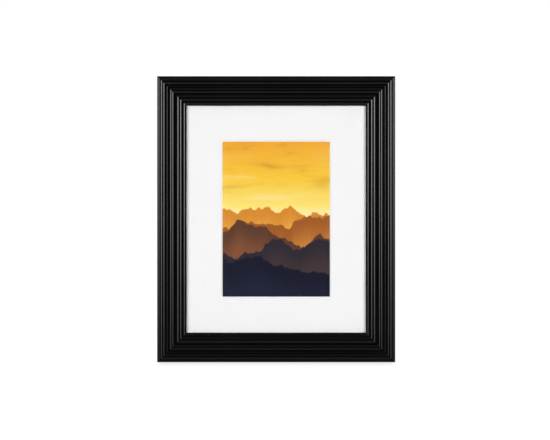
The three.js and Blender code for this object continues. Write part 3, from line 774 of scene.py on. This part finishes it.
def leg_outline(y, inset):
    """The leg's outline at a depth from the hinge axis, drawn in by inset, as points of one loop."""
    slope = opening - lean
    foot = -(hinge_at.z / MM + y * math.sin(slope)) / math.cos(slope) + inset
    top = clear_of_barrel - inset
    foot_x, top_x = LEG_FOOT / 2 - inset, LEG_TOP / 2 - inset
    right = []
    for step in range(9):
        t = step / 8
        right.append((top_x - LEG_CORNER * t * t, y, top - LEG_CORNER * (1 - t) ** 2))
    return [(-foot_x, y, foot), (foot_x, y, foot), *right, *((-x, y, z) for x, y, z in reversed(right))]


leg = smoothed(shell([
    *(leg_outline(leg_back - LEG_THICKNESS + depth, inset) for depth, inset in LEG_EDGE),
    *(leg_outline(leg_back - depth, inset) for depth, inset in reversed(LEG_EDGE)),
], ring=False), 30)
leg.materials.append(faced_board("faced_leg", leg_axes @ Matrix.Translation((0, leg_back * MM, 0))))
leg.transform(leg_axes)
fitted("tapered_leg", leg, "easel_leg", "faced_hardboard", "easel_leg")

# Rivets. Zinc-plated, with a low dome outside and a clenched tail inside: two through each hinge leaf and one
# through each hanger strap.
RIVET_HEAD, RIVET_RIM, RIVET_HEIGHT, RIVET_SHANK = 3.0, 0.12, 1.2, 1.6
RIVET_TAIL, TAIL_HEIGHT, TAIL_PROUD = 2.8, 0.6, 0.06
RIVET_SPACING, RIVET_REACH, STRAP_RIVET_REACH = 20.0, 11.0, 13.0
HANGER_INSET, STRAP_SHEET, STRAP_GAP = 24.0, 0.8, 0.3
tail_end = -HINGE_SHEET - STRAP_GAP - LEG_THICKNESS - TAIL_PROUD
tail_top = tail_end + TAIL_HEIGHT
rivet_blank = loose("rivet_blank", turned([
    (TURNED_END, tail_end), (RIVET_TAIL - 0.3, tail_end), (RIVET_TAIL, tail_end + 0.2),
    (RIVET_TAIL, tail_top), (RIVET_SHANK, tail_top), (RIVET_SHANK, 0.0), (RIVET_HEAD - 0.1, 0.0),
    *domed(RIVET_HEAD, RIVET_RIM, RIVET_HEIGHT, 10),
], 40))
rivet_tree, given = new_tree("rivets", "Rivets", Places="Geometry", Blank="Object", Finish="Material")
info = put(rivet_tree, "GeometryNodeObjectInfo", {"Object": given["Blank"]})
set_in = put(rivet_tree, "GeometryNodeInstanceOnPoints", {
    "Points": given["Places"], "Instance": info.outputs["Geometry"]})
closed_tree(rivet_tree, set_in.outputs[0], given["Finish"])

hinge_rise = (face.inverted() @ hinge_at).z / MM
rings = {  # ring axis as (x, z) of the picture and the turn of the hanger about y
    "portrait": ((0.0, SHEET_HEIGHT / 2 - HANGER_INSET), 0.0),
    "landscape": ((SHEET_WIDTH / 2 - HANGER_INSET, 0.0), math.pi / 2),
}
rivet_pair = (-RIVET_SPACING / 2, RIVET_SPACING / 2)
board_places = [(x, STRAP_GAP + HINGE_SHEET + HEAD_GAP, hinge_rise + RIVET_REACH) for x in rivet_pair]
for (x, z), turn in rings.values():
    away = Matrix.Rotation(turn, 3, "Y") @ Vector((0, 0, -STRAP_RIVET_REACH))
    board_places.append((x + away.x, STRAP_GAP + STRAP_SHEET + HEAD_GAP, z + away.z))
board_rivets = grown(rivet_tree, points_at(board_places), Blank=rivet_blank, Finish=zinc)
board_rivets.transform(face)
board_nodes = [name for name in frame["nodes"] if name.startswith(("hinge_rivet_board", "hanger_rivet"))]
fitted("board_rivets", smoothed(board_rivets, 35), "frame", "zinc_steel", *board_nodes)
leg_places = [(x, HINGE_BORE + HINGE_SHEET + HEAD_GAP, -RIVET_REACH) for x in rivet_pair]
leg_rivets = grown(rivet_tree, points_at(leg_places), Blank=rivet_blank, Finish=zinc)
leg_rivets.transform(leg_axes)
leg_nodes = [name for name in frame["nodes"] if name.startswith("hinge_rivet_leg")]
fitted("leg_rivets", smoothed(leg_rivets, 35), "easel_leg", "zinc_steel", *leg_nodes)
bpy.data.objects.remove(rivet_blank)

# Hangers. A strap of zinc-plated sheet rolled round the base of a wire triangle, riveted to the board. One
# hangs the frame upright and the other on its side.
STRAP_WIDTH, STRAP_LENGTH, STRAP_FLAT_TOP = 9.0, 18.0, -2.0
WIRE_RADIUS, WIRE_PLAY = 0.9, 0.35
RING_HALF_BASE, RING_HEIGHT, RING_CORNER = 10.0, 16.0, 3.0
strap_bore = WIRE_RADIUS + WIRE_PLAY
ring_depth = STRAP_GAP + STRAP_SHEET + strap_bore


def triangle_path():
    """The middle line of the wire: a triangle with bent corners, its base on the x axis, hanging down."""
    base = [Vector((-RING_HALF_BASE, 0, 0)), Vector((RING_HALF_BASE, 0, 0))]
    corners = [*base, Vector((0, 0, -RING_HEIGHT))]
    path = []
    for i, corner in enumerate(corners):
        first = corner + (corners[i - 1] - corner).normalized() * RING_CORNER
        last = corner + (corners[(i + 1) % 3] - corner).normalized() * RING_CORNER
        for step in range(13):
            t = step / 12
            path.append(tuple(first * (1 - t) ** 2 + corner * 2 * t * (1 - t) + last * t * t))
    return path


wire_tree, given = new_tree("bent_wire", "Wire", Path="Geometry", Wire_radius="Float", Finish="Material")
bent = put(wire_tree, "GeometryNodeMeshToCurve", {"Mesh": given["Path"]})
round_wire = put(wire_tree, "GeometryNodeCurvePrimitiveCircle",
                 {"Resolution": 20, "Radius": given["Wire radius"]})
drawn = put(wire_tree, "GeometryNodeCurveToMesh",
            {"Curve": bent.outputs[0], "Profile Curve": round_wire.outputs[0]})
closed_tree(wire_tree, drawn.outputs[0], given["Finish"])

strap_line = leaf_plate(STRAP_LENGTH, STRAP_SHEET, strap_bore, STRAP_FLAT_TOP)
strap_line += rolled(STRAP_SHEET, strap_bore)
# The upright hanger's ring hangs plumb, and the other one lies flat on the board.
swings = {"portrait": lean, "landscape": math.pi}
for way, ((x, z), turn) in rings.items():
    seat = face @ Matrix.Translation((x * MM, ring_depth * MM, z * MM)) @ Matrix.Rotation(turn, 4, "Y")
    half = STRAP_WIDTH / 2
    strap = pressed([(-half, half, strap_line)], STRAP_WIDTH, STRAP_LENGTH, STRAP_SHEET)
    strap.transform(seat)
    fitted(f"{way}_hanger_strap", strap, "frame", "zinc_steel", f"hanger_strap_{way}")
    ring = grown(wire_tree, wire(triangle_path()), Wire_radius=WIRE_RADIUS * MM, Finish=zinc)
    ring.transform(seat @ Matrix.Rotation(swings[way], 4, "X"))
    outward(ring)
    fitted(f"{way}_hanger_wire", ring, f"hanger_ring_{way}", "zinc_steel", f"hanger_ring_{way}")

# Table. A plain pale sheet that keeps the frame's shadow. It is white as seen directly and through glass, and
# dimmer in gloss, so that the lacquer stays black.
TABLE_TONE, TABLE_GLOW, TABLE_IN_GLOSS = 0.42, 0.77, 0.2
TABLE_HALF, TABLE_DROP = 4.0, 0.2 * MM


def flat_sheet(name, half_width, half_length, z):
    """A flat oblong about the origin, in metres."""
    x, y = half_width, half_length
    mesh = bpy.data.meshes.new(name)
    mesh.from_pydata([(-x, -y, z), (x, -y, z), (x, y, z), (-x, y, z)], [], [(0, 1, 2, 3)])
    return mesh


table_mesh = flat_sheet("table", TABLE_HALF, TABLE_HALF, -TABLE_DROP)
white_sheet = bpy.data.materials.new("white_sheet")
white_sheet.use_nodes = True
tree = white_sheet.node_tree
rays = put(tree, "ShaderNodeLightPath").outputs
direct = calc(tree, "MULTIPLY_ADD", rays["Is Glossy Ray"], TABLE_IN_GLOSS, rays["Is Camera Ray"])
direct = calc(tree, "ADD", direct, rays["Is Transmission Ray"], clamp=True)
matt = put(tree, "ShaderNodeBsdfDiffuse", {"Color": (TABLE_TONE, TABLE_TONE, TABLE_TONE, 1)})
strength = calc(tree, "MULTIPLY", direct, TABLE_GLOW)
glow = put(tree, "ShaderNodeEmission", {"Color": (1, 1, 1, 1), "Strength": strength})
both = put(tree, "ShaderNodeAddShader", {0: matt.outputs[0], 1: glow.outputs[0]})
dress(tree, tree.nodes["Material Output"], {"Surface": both.outputs[0]})
table_mesh.materials.append(white_sheet)
table = bpy.data.objects.new("table", table_mesh)
scene.collection.objects.link(table)

# Studio. Two tall soft boxes stand to the left and right of the camera, brighter towards their tops, and a
# thin strip stands low before the frame. The room on the camera's side is dark under a dim ceiling, and the
# backdrop behind the frame is white.
BOX_ANGLE, BOX_DISTANCE = 33.0, 2.0
BOX_WIDTH, BOX_HEIGHT, BOX_LIGHT = 0.71, 1.05, 13.9
BOX_DIM, DIM_BELOW, BRIGHT_ABOVE = 0.12, -0.42, 0.36  # share of light at a box's foot, and where it grows
STRIP_LENGTH, STRIP_HEIGHT, STRIP_AHEAD, STRIP_RAISED = 0.45, 0.008, 0.3, 0.02
ROOM_LEVEL, CEILING_LEVEL, FRONT_SHARE = 0.12, 0.37, 0.25
soft_light = bpy.data.materials.new("soft_box_light")
soft_light.use_nodes = True
tree = soft_light.node_tree
rise = put(tree, "ShaderNodeSeparateXYZ", {
    "Vector": put(tree, "ShaderNodeTexCoord").outputs["Object"]}).outputs["Y"]
strength = spread(tree, rise, DIM_BELOW, BRIGHT_ABOVE, BOX_DIM * BOX_LIGHT, BOX_LIGHT)
glow = put(tree, "ShaderNodeEmission", {"Color": (1, 1, 1, 1), "Strength": strength})
dress(tree, tree.nodes["Material Output"], {"Surface": glow.outputs[0]})


def soft_box(name, width, height, place):
    """A lit sheet of a size in metres, which the camera doesn't see."""
    mesh = flat_sheet(name, width / 2, height / 2, 0.0)
    mesh.materials.append(soft_light)
    box = bpy.data.objects.new(name, mesh)
    box.matrix_world = place
    box.visible_camera = False
    scene.collection.objects.link(box)
    return box


for name, way in (("left_soft_box", -1), ("right_soft_box", 1)):
    aside = math.radians(BOX_ANGLE) * way
    towards = Vector((math.sin(aside), -math.cos(aside), 0.0))
    at = face @ (towards * BOX_DISTANCE)
    facing = (at - face_middle).to_track_quat("Z", "Y").to_matrix().to_4x4()
    soft_box(name, BOX_WIDTH, BOX_HEIGHT, Matrix.Translation(at) @ facing)

# The strip lights the foot of the mat and is kept out of the gloss.
at = Vector((0.0, cad_box[0][1] - STRIP_AHEAD, STRIP_RAISED))
on_edge = Matrix.Rotation(math.pi / 2, 4, "X")
strip = soft_box("low_strip", STRIP_LENGTH, STRIP_HEIGHT, Matrix.Translation(at) @ on_edge)
strip.visible_glossy = strip.visible_transmission = False

world = bpy.data.worlds.new("studio")
scene.world = world
world.use_nodes = True
tree = world.node_tree
# Directions are told by their cosines with the way that the picture faces and with straight up.
way = put(tree, "ShaderNodeTexCoord").outputs["Generated"]
ahead = put(tree, "ShaderNodeVectorMath", {0: way, 1: tuple(-out_of_back)}, operation="DOT_PRODUCT")
ahead = ahead.outputs["Value"]
up = put(tree, "ShaderNodeSeparateXYZ", {"Vector": way}).outputs["Z"]
room = spread(tree, up, 0.35, 0.6, ROOM_LEVEL, CEILING_LEVEL)
room = calc(tree, "MULTIPLY", room, spread(tree, ahead, 0.70, 0.97, 1.0, FRONT_SHARE))
behind = spread(tree, ahead, 0.15, -0.25)
rays = put(tree, "ShaderNodeLightPath").outputs
seen = calc(tree, "ADD", rays["Is Camera Ray"], behind, clamp=True)
level = spread(tree, seen, 0.0, 1.0, room, 1.0)
dress(tree, tree.nodes["Background"], {"Color": (1, 1, 1, 1), "Strength": level})

# Camera. It stands square to the picture's leaning face, as in the photograph, and aside by the pixel or so
# that the frame is off the middle of the shot.
SHOT_DISTANCE, SHOT_PIXEL = 1.6, 1.0604 * MM
SHOT_WIDTH, SHOT_HEIGHT, SENSOR_WIDTH = 550, 440, 36.0
FRAME_ACROSS, FRAME_DOWN = 276.2, 219.2  # the frame's middle in the shot, in pixels
camera = bpy.data.objects.new("camera", bpy.data.cameras.new("camera"))
scene.collection.objects.link(camera)
camera.data.sensor_fit = "HORIZONTAL"
camera.data.sensor_width = SENSOR_WIDTH
camera.data.lens = SENSOR_WIDTH * SHOT_DISTANCE / (SHOT_WIDTH * SHOT_PIXEL)
aside, raised_by = FRAME_ACROSS - SHOT_WIDTH / 2, SHOT_HEIGHT / 2 - FRAME_DOWN
stand = Vector((-aside * SHOT_PIXEL, -RAIL_HEIGHT * MM - SHOT_DISTANCE, -raised_by * SHOT_PIXEL))
camera.matrix_world = Matrix.Translation(face @ stand) @ Matrix.Rotation(math.pi / 2 - lean, 4, "X")
scene.camera = camera
scene.view_settings.view_transform = "Standard"
